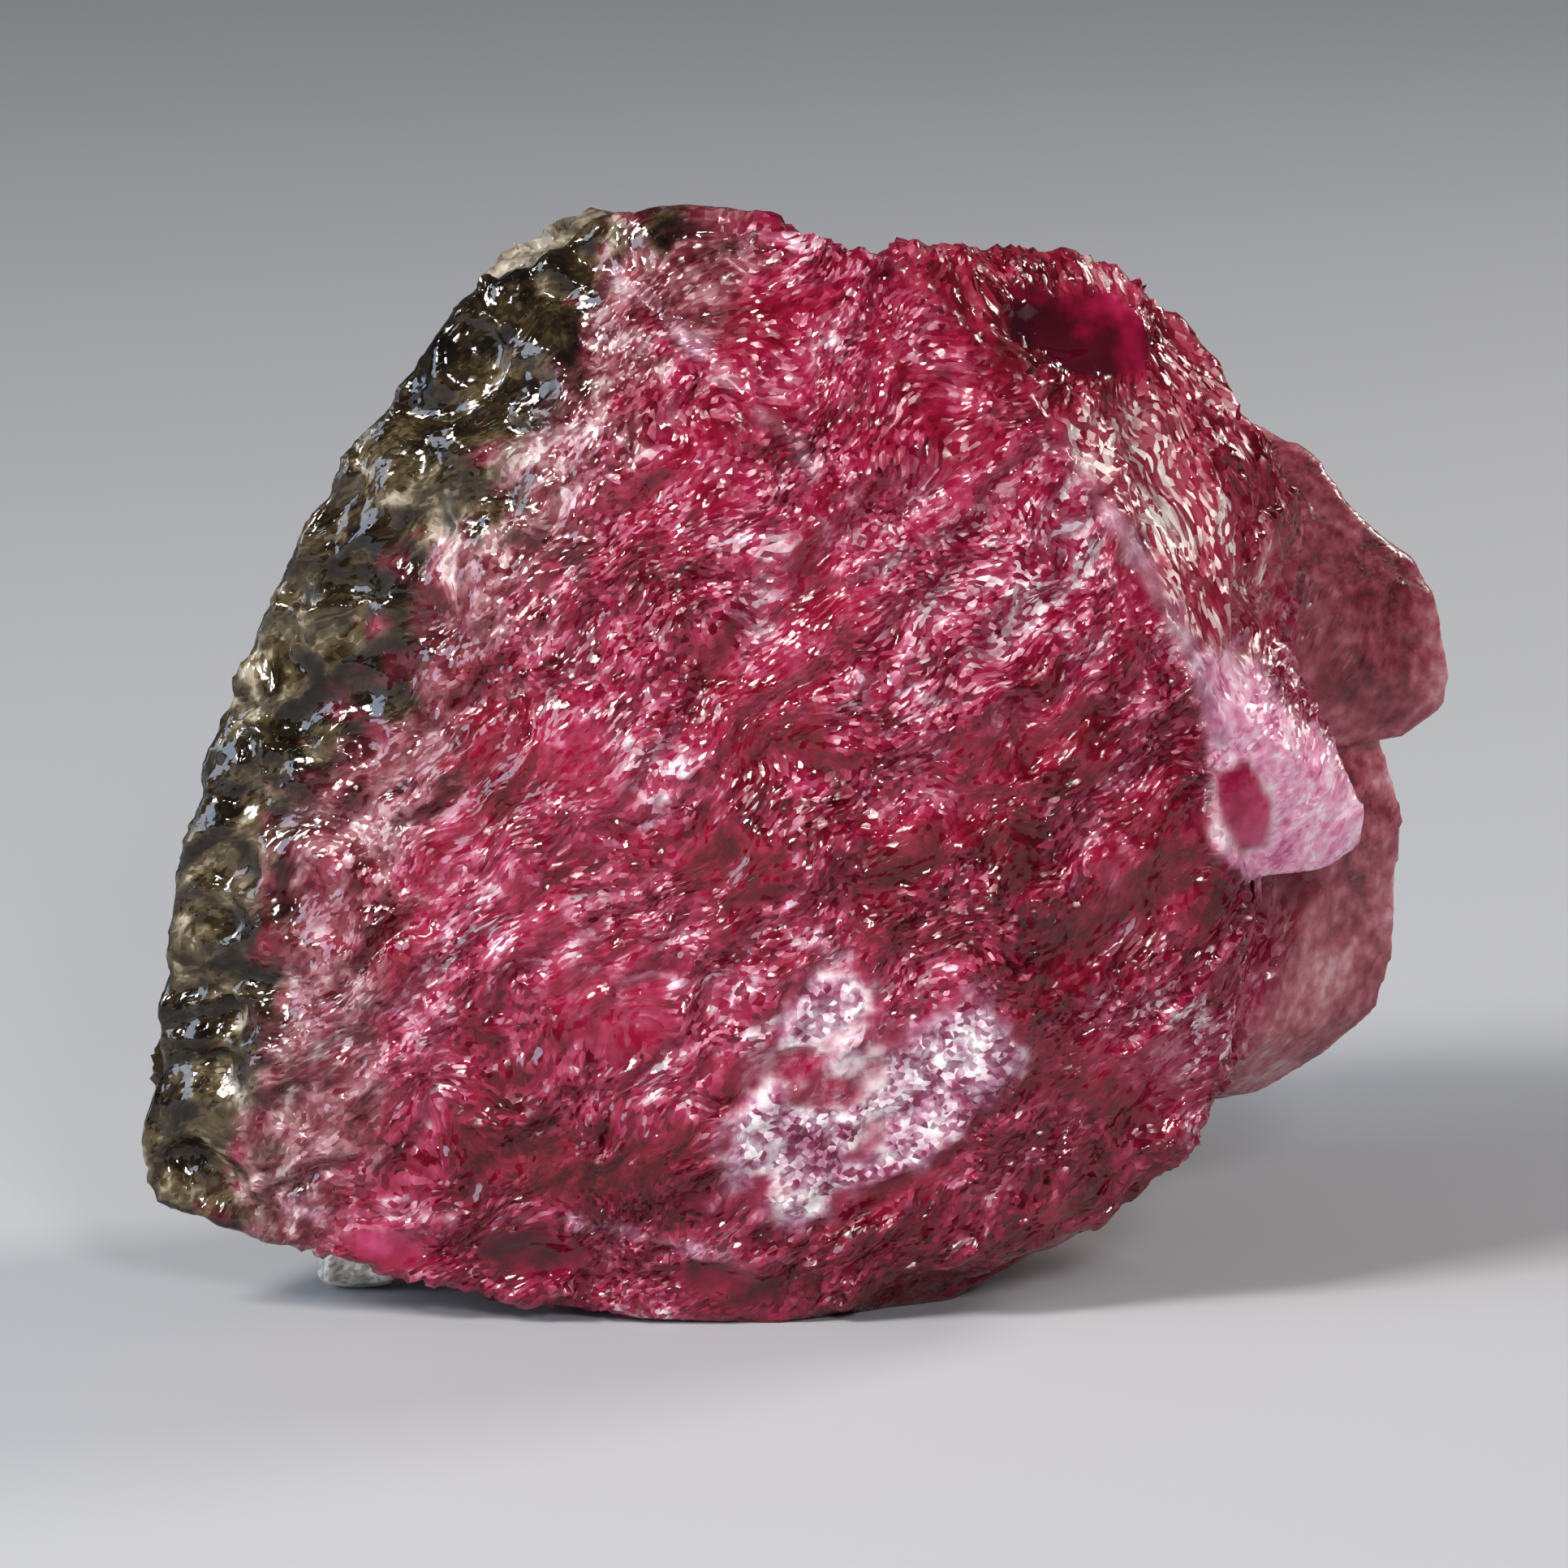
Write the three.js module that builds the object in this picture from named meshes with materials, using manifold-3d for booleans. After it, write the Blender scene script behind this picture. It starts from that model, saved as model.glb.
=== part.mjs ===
// A rough rubellite: one broken piece of pink-red tourmaline with an olive rind down its left edge.
// Millimetres, +Z up. The broad broken face looks towards -Y, and the stone rests on a flat break below.
// The origin is under the middle of the stone, on the surface that it rests on.
import * as THREE from "three";
import { ConvexGeometry } from "three/addons/geometries/ConvexGeometry.js";
import { mergeVertices } from "three/addons/utils/BufferGeometryUtils.js";
import Module from "manifold-3d";

const wasm = await Module();
wasm.setup();

// Driving dimensions.
const WIDTH = 26.3; // from the rind's lower corner to the far lobe
const DRAWN_WIDTH = 26.3; // the width at which the corner lists below are drawn
const GRAIN_DEG = 38; // the splintery grain of the broad face climbs to the right by this angle
const RIND_WIDTH = 3.2; // how far the olive rind reaches in from the stone's left edge
const BASE_CLEAR = 0.35; // no chip is taken from the flat base or from this height above it

// A level is a row of [x, z] corners that share one depth y, behind the foremost point of the broad face.
const level = (y, corners) => corners.map(([x, z]) => [x, y, z]);

// The ridge where the broad face breaks away to the right.
const RIDGE = level(2.1, [[4.6, 18.8], [5.9, 17.0], [7.3, 14.9], [8.3, 12.7], [8.6, 10.2]]);

// The flat break that the stone rests on.
const BASE = [[-0.2, 2], [-4.4, 4.5], [-4.6, 9.5], [0.5, 11.5], [4.6, 9.5], [3.4, 4.2]].map(
  ([x, y]) => [x, y, 0],
);

// The front mass carries the broad face, the rind's edge on the left and the base.
const FRONT_MASS = [
  ...RIDGE,
  ...BASE,
  ...level(0.0, [[-3.0, 12.0], [1.5, 9.0]]),
  ...level(0.5, [[-6.5, 8.0], [-1.5, 17.0], [4.0, 6.0], [4.2, 12.5], [-2.5, 4.0]]),
  ...level(2.2, [[-8.2, 17.8], [-9.4, 15.8], [-10.5, 13.2], [-11.6, 10.6], [-12.2, 6.4]]),
  ...level(2.5, [[-12.7, 3.3], [-12.3, 2.3], [-10.7, 1.8], [-6.1, 20.6]]),
  ...level(2.0, [[-8.2, 1.2], [-6.4, 0.7], [-4.2, 0.35], [-2.6, 0.1], [2.3, 0.75], [3.8, 1.1]]),
  ...level(2.8, [[5.5, 1.7], [7.1, 2.2], [8.2, 3.3], [8.75, 4.7], [9.2, 6.6], [9.3, 8.4]]),
  ...level(3.1, [[-3.0, 22.0], [-1.8, 22.1], [0.4, 21.9], [1.5, 21.4]]),
  ...level(9.0, [[-5.0, 18.5], [-9.6, 11.5], [-10.8, 6.0], [-9.6, 3.0]]),
  ...level(9.0, [[8.0, 3.0], [9.0, 9.0], [8.4, 15.0], [0.0, 20.2]]),
];

// The shoulder fills the upper right, from the ridge back to the skyline.
const SHOULDER = [
  ...RIDGE.slice(0, 4),
  ...level(3.1, [[1.5, 21.4]]),
  ...level(5.2, [[5.9, 21.0], [7.0, 20.5], [8.3, 19.2], [9.6, 17.7], [10.1, 16.5]]),
  ...level(6.6, [[10.5, 15.4], [10.2, 12.0]]),
  ...level(10.0, [[1.5, 19.6], [5.5, 19.0], [8.6, 16.0], [9.4, 9.5]]),
];

// The spur juts out at the right, below the shoulder.
const SPUR = [
  ...level(2.2, [[8.3, 12.6], [8.6, 10.2]]),
  ...level(3.2, [[9.3, 8.7]]),
  ...level(4.4, [[10.9, 8.7], [11.55, 9.2], [11.65, 9.9], [11.0, 11.0]]),
  ...level(5.2, [[10.4, 12.2], [9.8, 13.8]]),
  ...level(8.0, [[8.5, 13.0], [9.6, 9.6]]),
];

// Two lobes stand out behind the spur, with a notch between them.
const UPPER_LOBE = [
  ...level(9.6, [[10.4, 16.5], [11.5, 15.8], [12.7, 14.5], [13.3, 13.4], [13.6, 11.7], [13.5, 11.1]]),
  ...level(9.6, [[12.7, 10.5]]),
  ...level(7.4, [[8.0, 15.4], [8.6, 10.2]]),
  ...level(8.2, [[11.5, 13.6], [11.8, 12.0]]),
  ...level(14.2, [[11.6, 10.8], [11.0, 13.6], [8.0, 17.2]]),
  ...level(16.6, [[4.0, 15.0], [5.0, 8.5], [8.5, 11.0]]),
];
const LOWER_LOBE = [
  ...level(10.4, [[12.3, 10.0], [12.8, 8.4], [12.6, 6.1], [12.2, 4.7], [11.2, 3.8], [9.9, 3.0]]),
  ...level(10.4, [[8.8, 2.8], [12.1, 10.9]]),
  ...level(7.2, [[9.3, 4.6]]),
  ...level(8.0, [[7.2, 3.2], [8.6, 10.4]]),
  ...level(8.6, [[11.2, 8.2], [10.8, 5.4]]),
  ...level(14.6, [[10.6, 9.2], [9.8, 4.6]]),
  ...level(16.2, [[6.0, 9.2], [5.0, 3.8]]),
];

// The far side closes the stone behind the broad face.
const FAR_SIDE = [
  ...BASE.slice(2, 5),
  ...level(8.0, [[-9.6, 11.5], [-10.8, 6.0], [-9.6, 3.0], [-5.2, 18.7], [0.0, 20.6], [5.0, 19.2]]),
  ...level(13.6, [[-6.6, 14.4], [-7.6, 6.0], [-4.4, 1.8], [2.4, 1.6]]),
  ...level(15.6, [[-1.6, 17.0], [-3.4, 4.4], [3.0, 16.8]]),
  ...level(16.9, [[3.4, 6.2], [4.2, 14.0], [-0.4, 10.0]]),
];

// A body of stone joins the shoulder, the lobes and the far side behind the spur.
const RIGHT_SIDE = [
  ...level(5.0, [[8.4, 17.8]]),
  ...level(6.4, [[9.5, 14.0], [9.0, 4.0]]),
  ...level(7.6, [[10.0, 10.4]]),
  ...level(9.2, [[3.0, 19.6], [10.6, 13.0], [10.4, 6.0], [8.5, 3.0]]),
  ...level(12.6, [[3.4, 1.8], [7.6, 16.4]]),
  ...level(14.0, [[9.4, 12.8], [9.2, 5.4]]),
  ...level(16.2, [[3.6, 15.6], [5.4, 12.0], [5.2, 5.6]]),
];

// A pale knob of outer skin stands up behind the rind's upper edge.
const PALE_KNOB = [
  ...level(5.4, [[-6.2, 19.9], [-5.9, 20.5], [-5.3, 21.0], [-4.4, 21.45], [-3.0, 21.6]]),
  ...level(3.2, [[-5.4, 19.6], [-2.6, 21.2]]),
  ...level(8.4, [[-6.0, 18.4], [-4.4, 20.2], [-2.2, 20.4]]),
];

// A crumb of white matrix clings to the underside, behind the rim, and reaches down to the surface.
const WHITE_CRUMB = [
  ...level(4.6, [[-9.1, 0.3], [-8.9, 0.75], [-8.2, 0.85], [-7.8, 0.4]]),
  ...level(5.2, [[-9.2, 0.1], [-7.7, 0.1], [-9.3, 0.9], [-7.6, 0.7], [-8.4, 2.2]]),
  ...level(5.3, [[-8.8, 0.0], [-8.1, 0.0]]),
  ...level(6.0, [[-8.9, 0.2], [-7.9, 0.2], [-8.9, 1.1], [-7.9, 1.0]]),
  ...level(5.8, [[-8.4, 0.0]]),
];

// Large hollows of the near side, placed by where they show from the front: centre [x, z], half length and
// half width of the opening, depth, and the angle of the long side from +X.
const HOLLOWS = [
  { name: "shoulder pocket", at: [5.4, 19.7], half: [1.7, 0.9], depth: 0.6, turn: 20 },
  { name: "shoulder cliff", at: [7.7, 16.6], half: [2.6, 0.9], depth: 0.55, turn: -62 },
  { name: "cliff foot", at: [9.2, 13.6], half: [1.9, 0.7], depth: 0.5, turn: -70 },
  { name: "frosted scar", at: [1.9, 4.3], half: [3.3, 2.5], depth: 0.32, turn: 35 },
  { name: "left window", at: [-6.9, 1.5], half: [1.3, 0.55], depth: 0.2, turn: -10 },
  { name: "middle window", at: [-4.3, 1.3], half: [1.5, 0.6], depth: 0.22, turn: -8 },
  { name: "right window", at: [-1.1, 0.9], half: [1.2, 0.5], depth: 0.2, turn: -12 },
  { name: "rim bite", at: [7.6, 4.6], half: [1.6, 0.7], depth: 0.35, turn: 60 },
];

// Families of small breaks: opening half length and half width, and depth, each from least to most.
const SPLINTERS = { length: [1.3, 2.6], width: [0.6, 1.05], depth: [0.13, 0.3], spacing: 2.0 };
const RIND_PITS = { length: [0.6, 1.1], width: [0.5, 0.85], depth: [0.18, 0.36], spacing: 1.2 };
const STRIATIONS = { length: [2.6, 4.6], width: [0.45, 0.8], depth: [0.13, 0.26], spacing: 1.6 };
const SCARS = { length: [1.6, 3.2], width: [1.2, 2.2], depth: [0.2, 0.42], count: 72 };

// A repeatable stream of numbers from 0 to 1.
function numberStream(seed) {
  let state = seed;
  return () => {
    state = (state + 0x6d2b79f5) | 0;
    let mixed = Math.imul(state ^ (state >>> 15), state | 1);
    mixed ^= mixed + Math.imul(mixed ^ (mixed >>> 7), mixed | 61);
    return ((mixed ^ (mixed >>> 14)) >>> 0) / 4294967296;
  };
}
const random = numberStream(7);
const between = ([least, most]) => least + (most - least) * random();
const give = (size) => (random() - 0.5) * size;

// A closed three.js geometry as a solid that can be joined and cut.
function solidOf(geometry) {
  const bare = geometry.clone();
  bare.deleteAttribute("normal");
  bare.deleteAttribute("uv");
  const merged = mergeVertices(bare, 1e-4);
  return new wasm.Manifold(
    new wasm.Mesh({
      numProp: 3,
      vertProperties: new Float32Array(merged.attributes.position.array),
      triVerts: new Uint32Array(merged.index.array),
    }),
  );
}

function geometryOf(solid) {
  const { vertProperties, triVerts } = solid.getMesh();
  const geometry = new THREE.BufferGeometry();
  geometry.setAttribute("position", new THREE.BufferAttribute(vertProperties, 3));
  geometry.setIndex(new THREE.BufferAttribute(triVerts, 1));
  geometry.computeVertexNormals();
  return geometry;
}

const hull = (corners) => new ConvexGeometry(corners.map((corner) => new THREE.Vector3(...corner)));

// The blocks grown together, before any chip is taken.
const rough = [FRONT_MASS, SHOULDER, SPUR, UPPER_LOBE, LOWER_LOBE, FAR_SIDE, RIGHT_SIDE, PALE_KNOB]
  .map((corners) => solidOf(hull(corners)))
  .reduce((joined, next) => joined.add(next));
const roughMesh = new THREE.Mesh(geometryOf(rough), new THREE.MeshBasicMaterial());
const MIDDLE = new THREE.Vector3(0, 8, 10);
const FAR_OFF = 60;

// Where a line from outside first meets the rough stone, with the skin's outward normal there.
function touch(from, direction) {
  const [hit] = new THREE.Raycaster(from, direction).intersectObject(roughMesh);
  return hit && { point: hit.point, normal: hit.face.normal };
}
const touchFromFront = (x, z) => touch(new THREE.Vector3(x, -FAR_OFF, z), new THREE.Vector3(0, 1, 0));
const touchFromLeft = (y, z) => touch(new THREE.Vector3(-FAR_OFF, y, z), new THREE.Vector3(1, 0, 0));

// Two cutters of unit half length, half width and depth, with the skin at height 0. Each reaches out past
// its opening, so that it clears the skin around it. The bowl takes a shell-like chip.
const BOWL_SIDES = 8;
const bowlRim = [0, 0.5, 1, 1.5].map((r) => new THREE.Vector2(r, r * r - 1));
const BOWL = new THREE.LatheGeometry([...bowlRim, new THREE.Vector2(0, bowlRim.at(-1).y)], BOWL_SIDES);

// The wedge lifts a splinter: a long slope goes down to a keel, and a steep wall stands behind it.
const WEDGE = hull([
  [-0.5, -1, 0.45],
  [0.45, -1, 0.6],
  ...[-1.7, 1.7].map((end) => [end, 0.7, 0.4]),
  ...[-0.7, 0.75].flatMap((end) => [[end, 0.7, -2.0], [end, 0.7, 1.05]]),
]);

function cutAt({ point, normal }, shape, [halfLength, halfWidth], depth, along) {
  const length = along.clone().projectOnPlane(normal).normalize();
  const width = new THREE.Vector3().crossVectors(length, normal);
  const seat = new THREE.Matrix4().makeBasis(length, normal, width).setPosition(point);
  return solidOf(shape.clone().scale(halfLength, depth, halfWidth).applyMatrix4(seat));
}
const chipFrom = (family, place, shape, along) =>
  cutAt(place, shape, [between(family.length), between(family.width)], between(family.depth), along);

const frontDirection = (degrees) => {
  const angle = THREE.MathUtils.degToRad(degrees);
  return new THREE.Vector3(Math.cos(angle), 0, Math.sin(angle));
};
const awayFromBase = ({ point, normal }) => point.z > BASE_CLEAR && normal.z > -0.97;

// The rind follows the stone's left edge, which leans back to the right above its knee.
const KNEE_Z = 10.6;
const leftEdgeAt = (z) => (z > KNEE_Z ? -11.6 + (z - KNEE_Z) * 0.54 : -11.6 - (KNEE_Z - z) * 0.14);
const inRind = ({ x, z }) => x - leftEdgeAt(z) < RIND_WIDTH;
const onBroadFace = (point) => !inRind(point) && point.y < 4.5;

const chips = HOLLOWS.map(({ at, half, depth, turn }) =>
  cutAt(touchFromFront(...at), BOWL, half, depth, frontDirection(turn)),
);

// The broad face: long splinters along the grain, and round pits over the rind.
for (const { family, shape, wanted, sway } of [
  { family: SPLINTERS, shape: WEDGE, wanted: onBroadFace, sway: 50 },
  { family: RIND_PITS, shape: BOWL, wanted: inRind, sway: 180 },
]) {
  for (let z = 1; z < 22; z += family.spacing) {
    for (let x = -13; x < 12; x += family.spacing) {
      const place = touchFromFront(x + give(family.spacing), z + give(family.spacing));
      if (!place || !wanted(place.point) || !awayFromBase(place)) continue;
      const halfTurn = random() < 0.5 ? 0 : 180;
      chips.push(chipFrom(family, place, shape, frontDirection(GRAIN_DEG + halfTurn + give(sway))));
    }
  }
}

// The outer skin of the rind: grooves that run back along the prism.
for (let z = 2; z < 20; z += STRIATIONS.spacing) {
  for (const y of [5, 10]) {
    const place = touchFromLeft(y + give(3), z + give(0.6));
    if (!place || !awayFromBase(place)) continue;
    chips.push(chipFrom(STRIATIONS, place, WEDGE, new THREE.Vector3(0, 1, give(0.2))));
  }
}

// Every other side: shell-like scars, spread evenly by the golden angle.
const GOLDEN_ANGLE = Math.PI * (3 - Math.sqrt(5));
for (let i = 0; i < SCARS.count; i++) {
  const height = 1 - (2 * i + 1) / SCARS.count;
  const spread = Math.sqrt(1 - height * height);
  const turn = i * GOLDEN_ANGLE;
  const outward = new THREE.Vector3(spread * Math.cos(turn), spread * Math.sin(turn), height);
  const place = touch(MIDDLE.clone().addScaledVector(outward, FAR_OFF), outward.clone().negate());
  if (!place || place.normal.y < -0.45 || place.normal.x < -0.7 || !awayFromBase(place)) continue;
  chips.push(chipFrom(SCARS, place, BOWL, new THREE.Vector3(give(1), give(1), give(1))));
}

// The spur keeps its flat faces, and the crumb clings to the chipped underside. A splinter that the chips
// cut loose falls away, and the stone itself is the largest body left.
const chipped = chips
  .reduce((left, taken) => left.subtract(taken), rough)
  .add(solidOf(hull(SPUR)))
  .add(solidOf(hull(WHITE_CRUMB)))
  .decompose()
  .reduce((largest, body) => (body.volume() > largest.volume() ? body : largest));

// The drawn corners are brought to the stone's own width and set over the origin.
const form = geometryOf(chipped);
form.scale(...Array(3).fill(WIDTH / DRAWN_WIDTH));
form.computeBoundingBox();
const { min, max } = form.boundingBox;
form.translate(-(min.x + max.x) / 2, -(min.y + max.y) / 2, -min.z);

const crystal = new THREE.Mesh(
  form,
  new THREE.MeshStandardMaterial({ color: 0x9e1b42, roughness: 0.25, metalness: 0 }),
);
crystal.name = "crystal";

const stone = new THREE.Group();
stone.add(crystal);

export default stone;
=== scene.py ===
# %% [markdown]
# # A rough rubellite
# The stone is one broken piece of pink-red tourmaline. Its broad face is a splintery break, an olive rind
# of old crystal skin runs down its left edge, and a spur and two lobes stand out on the right. The solid
# model gives the blocks and the larger chips. This lesson gives that solid a fine broken surface and the
# finishes of the real stone.

# %% The frame
import itertools
import math

import bpy
import numpy as np
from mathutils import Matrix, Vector


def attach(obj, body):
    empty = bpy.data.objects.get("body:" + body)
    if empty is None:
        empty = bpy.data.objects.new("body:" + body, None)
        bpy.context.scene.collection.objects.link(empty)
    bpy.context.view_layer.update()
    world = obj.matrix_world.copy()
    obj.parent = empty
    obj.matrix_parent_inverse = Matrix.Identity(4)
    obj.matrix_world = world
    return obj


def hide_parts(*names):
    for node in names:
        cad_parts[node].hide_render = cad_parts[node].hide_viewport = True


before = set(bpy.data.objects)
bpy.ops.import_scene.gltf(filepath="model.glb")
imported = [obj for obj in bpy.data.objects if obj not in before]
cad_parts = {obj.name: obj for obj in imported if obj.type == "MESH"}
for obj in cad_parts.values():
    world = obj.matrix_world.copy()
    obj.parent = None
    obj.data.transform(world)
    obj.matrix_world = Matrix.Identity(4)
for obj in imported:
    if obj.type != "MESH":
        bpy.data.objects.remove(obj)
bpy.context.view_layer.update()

MM = 0.001

# %% [markdown]
# ## The camera
# The picture is a macro view from a little above, straight on to the broad face. A long lens a hand's
# span away gives nearly parallel edges, so the camera is placed by its distance and by the width that the
# picture covers at the stone. It comes first, because every later choice is judged through it.

# %% Camera
VIEW_RISE = math.radians(10)
VIEW_DISTANCE = 220 * MM
PICTURE_WIDTH = 31.0 * MM
FRONT_RIM = (-0.45 * MM, -6.45 * MM, 0)  # the lowest point of the front rim
AIM_RIGHT, AIM_UP = 0.1 * MM, 10.69 * MM  # from that point to the picture's middle
SENSOR = 36

rise = np.array((0, math.sin(VIEW_RISE), math.cos(VIEW_RISE)))
ahead = np.array((0, math.cos(VIEW_RISE), -math.sin(VIEW_RISE)))
aim = np.array(FRONT_RIM) + AIM_RIGHT * np.array((1, 0, 0)) + AIM_UP * rise
bpy.ops.object.select_all(action="DESELECT")
bpy.ops.object.camera_add(location=aim - VIEW_DISTANCE * ahead, rotation=(math.pi / 2 - VIEW_RISE, 0, 0))
camera = bpy.context.object
camera.data.sensor_width = SENSOR
camera.data.lens = SENSOR * VIEW_DISTANCE / PICTURE_WIDTH
camera.data.clip_start = MM
bpy.context.scene.camera = camera
print("lens, mm:", round(camera.data.lens, 1))

# %% [markdown]
# ## An even skin
# The solid is a few thousand long triangles, which can't be pushed into fine chips. A voxel remesh lays
# an even net of small quads over the same form. The net is as fine as the piece's triangle budget allows.
# A light smoothing takes away the steps that the voxels leave on slanting faces.

# %% Copy the solid and remesh it
SKIN_VOXEL = 0.14 * MM
MERGE_REACH = 0.001 * MM  # corners of the solid that lie closer than this become one


def apply_modifier(piece, name, kind, **settings):
    """Adds one modifier, gives it its settings and applies it at once."""
    bpy.context.view_layer.objects.active = piece
    modifier = piece.modifiers.new(name, kind)
    for setting, value in settings.items():
        setattr(modifier, setting, value)
    bpy.ops.object.modifier_apply(modifier=name)


bpy.ops.object.select_all(action="DESELECT")
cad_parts["crystal"].select_set(True)
bpy.context.view_layer.objects.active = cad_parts["crystal"]
bpy.ops.object.duplicate()
stone = bpy.context.object
stone.name = "rubellite_stone"
bpy.ops.object.mode_set(mode="EDIT")
bpy.ops.mesh.select_all(action="SELECT")
bpy.ops.mesh.remove_doubles(threshold=MERGE_REACH)
bpy.ops.object.mode_set(mode="OBJECT")
apply_modifier(stone, "skin", "REMESH", mode="VOXEL", voxel_size=SKIN_VOXEL)
apply_modifier(stone, "ease", "SMOOTH", factor=0.5, iterations=2)
bpy.ops.object.shade_smooth()
print("skin:", len(stone.data.vertices), "points,", len(stone.data.polygons), "faces")

# %% [markdown]
# ## Numbers that look like chance
# A broken stone never repeats, but the lesson must give the same stone each time. So chance comes from a
# scatter function: the same cell of space always gets the same numbers. Two patterns come from it. Soft
# noise blends the numbers of neighbouring cells into hills, and nearest cells split space into separate
# splinters.

# %% Helpers for patterns
CELL_JITTER = 0.8  # how much of its cell the middle of a splinter may wander over


def scatter(cells, salt):
    """Repeatable numbers from 0 to 1 for each cell, one for each axis."""
    mix = np.array([[127.1, 269.5, 419.2], [311.7, 183.3, 371.9], [74.7, 246.1, 168.2]])
    spread = 43758.5453  # so large that neighbouring cells get unlike numbers
    return np.modf(np.abs(np.sin(cells @ mix + salt)) * spread)[0]


def soft_noise(places, size, salt):
    """Three smooth numbers from 0 to 1 for each place, with hills of that size in millimetres."""
    cells = np.floor(places / size)
    share = places / size - cells
    share = share * share * (3 - 2 * share)
    total = np.zeros_like(places)
    for corner in itertools.product((0, 1), repeat=3):
        weight = np.prod(np.where(corner, share, 1 - share), axis=1)
        total += weight[:, None] * scatter(cells + corner, salt)
    return total


def nearest_cells(places):
    """How far each place lies from the middle of its nearest cell, in cells, and which cell that is."""
    nearest = np.full(len(places), np.inf)
    offsets, owners = np.zeros_like(places), np.zeros_like(places)
    for step in itertools.product((-1, 0, 1), repeat=3):
        cells = np.floor(places) + step
        away = places - cells - 0.5 - CELL_JITTER * (scatter(cells, 0) - 0.5)
        distance = (away**2).sum(1)
        closer = distance < nearest
        nearest[closer] = distance[closer]
        offsets[closer], owners[closer] = away[closer], cells[closer]
    return offsets, owners


def ramp(low, high, values):
    """0 at low and beyond it, 1 at high and beyond it, and a soft step between."""
    share = np.clip((values - low) / (high - low), 0, 1)
    return share * share * (3 - 2 * share)


print("numbers of the first cell:", scatter(np.zeros((1, 3)), 0).round(3))

# %% [markdown]
# ## The stone's own points
# A mesh is a list of points, and numpy can work on all of them at once. Sculpting with brushes would be
# another way to break the surface, but numbers can be tuned and give the same stone again. Beside its
# place, each point's normal is needed, because the old outer skin of the crystal is what faces left.

# %% Where the points are and what faces left
places, normals = np.empty((2, len(stone.data.vertices) * 3))
stone.data.vertices.foreach_get("co", places)
stone.data.vertex_normals.foreach_get("vector", normals)
points = places.reshape(-1, 3) / MM
x, y, z = points.T
facing_left = -normals.reshape(-1, 3)[:, 0]
print("points, mm:", points.min(0).round(2), "to", points.max(0).round(2))

# %% [markdown]
# ## Where each kind of surface lies
# A stone like this is one growth, but its surface changes from place to place. Each zone is a signed
# depth, mostly in millimetres: above 0 inside the zone, below 0 outside, so that a finish can later fray
# the edge with noise. Painting zones by hand would also do, but a depth can be measured, wavered and
# corrected in one place.

# %% Helpers for zones


def distance_to(line):
    """How far each point lies from a line of [x, z] corners, seen from the front."""
    nearest = np.full(len(x), np.inf)
    for (ax, az), (bx, bz) in zip(line, line[1:]):
        share = ((x - ax) * (bx - ax) + (z - az) * (bz - az)) / ((bx - ax) ** 2 + (bz - az) ** 2)
        share = np.clip(share, 0, 1)
        nearest = np.minimum(nearest, np.hypot(x - ax - share * (bx - ax), z - az - share * (bz - az)))
    return nearest


def depth_inside(outline):
    """How far inside an outline of [x, z] corners each point lies, seen from the front."""
    inside = np.zeros(len(x), bool)
    for (ax, az), (bx, bz) in zip(outline, outline[1:] + outline[:1]):
        if az != bz:
            inside ^= ((az > z) != (bz > z)) & (x < ax + (z - az) * (bx - ax) / (bz - az))
    away = distance_to(outline + outline[:1])
    return np.where(inside, away, -away)


def depth_in_oval(middle, half, turn):
    """How far inside an oval each point lies. Its first half length is turned up from +X by degrees."""
    c, s = math.cos(math.radians(turn)), math.sin(math.radians(turn))
    along = ((x - middle[0]) * c + (z - middle[1]) * s) / half[0]
    across = ((z - middle[1]) * c - (x - middle[0]) * s) / half[1]
    return (1 - np.hypot(along, across)) * min(half)


print("farthest from the upright middle line, mm:", distance_to([[0, 0], [0, 22]]).max().round(2))

# %% [markdown]
# ## Outlines on the front
# The white crust, the ridge with the cliff beside it, the spur and the clear windows all lie on the
# front. They are drawn there as corners and ovals in millimetres, as one would trace them on a sheet of
# glass held before the stone.

# %% Outlines on the front
CRUST = [
    [0.6, 8.0], [0.9, 7.7], [1.35, 7.05], [1.5, 6.65], [0.85, 6.2], [0.25, 5.85], [1.15, 5.75], [2.05, 6.1],
    [2.8, 6.65], [3.2, 7.05], [3.7, 6.65], [4.25, 6.0], [4.4, 5.5], [4.1, 5.0], [3.8, 4.55], [3.2, 3.95],
    [2.35, 3.3], [1.65, 3.0], [0.85, 2.75], [0.5, 2.25], [-0.2, 2.15], [-0.8, 2.55], [-1.35, 3.1],
    [-1.55, 3.8], [-1.45, 4.4], [-0.9, 5.0], [-0.6, 5.6], [-0.35, 6.45], [-0.2, 7.05], [0.2, 7.7],
]
RIDGE = [[1.2, 21.6], [4.3, 18.9], [5.4, 17.1], [6.9, 14.9], [7.9, 12.7], [8.2, 11.6]]
SKYLINE = [[8.9, 12.6], [9.3, 13.8], [10.4, 15.3], [9.8, 17.0], [8.8, 18.6], [7.2, 20.5], [5.6, 21.6]]
SPUR = [
    [7.8, 13.4], [8.4, 13.4], [9.4, 12.3], [10.6, 11.2], [11.4, 9.9], [11.2, 8.8], [10.0, 8.3], [8.9, 8.5],
    [8.2, 9.8],
]
CRACK = [[-3.7, 20.9], [-1.7, 19.1], [0.2, 17.3]]
BEVEL = [[-10.1, 2.3], [-7.2, 2.25], [-4.6, 2.3], [-2.1, 1.6], [-0.8, 1.35], [0.4, 1.2]]
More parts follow.
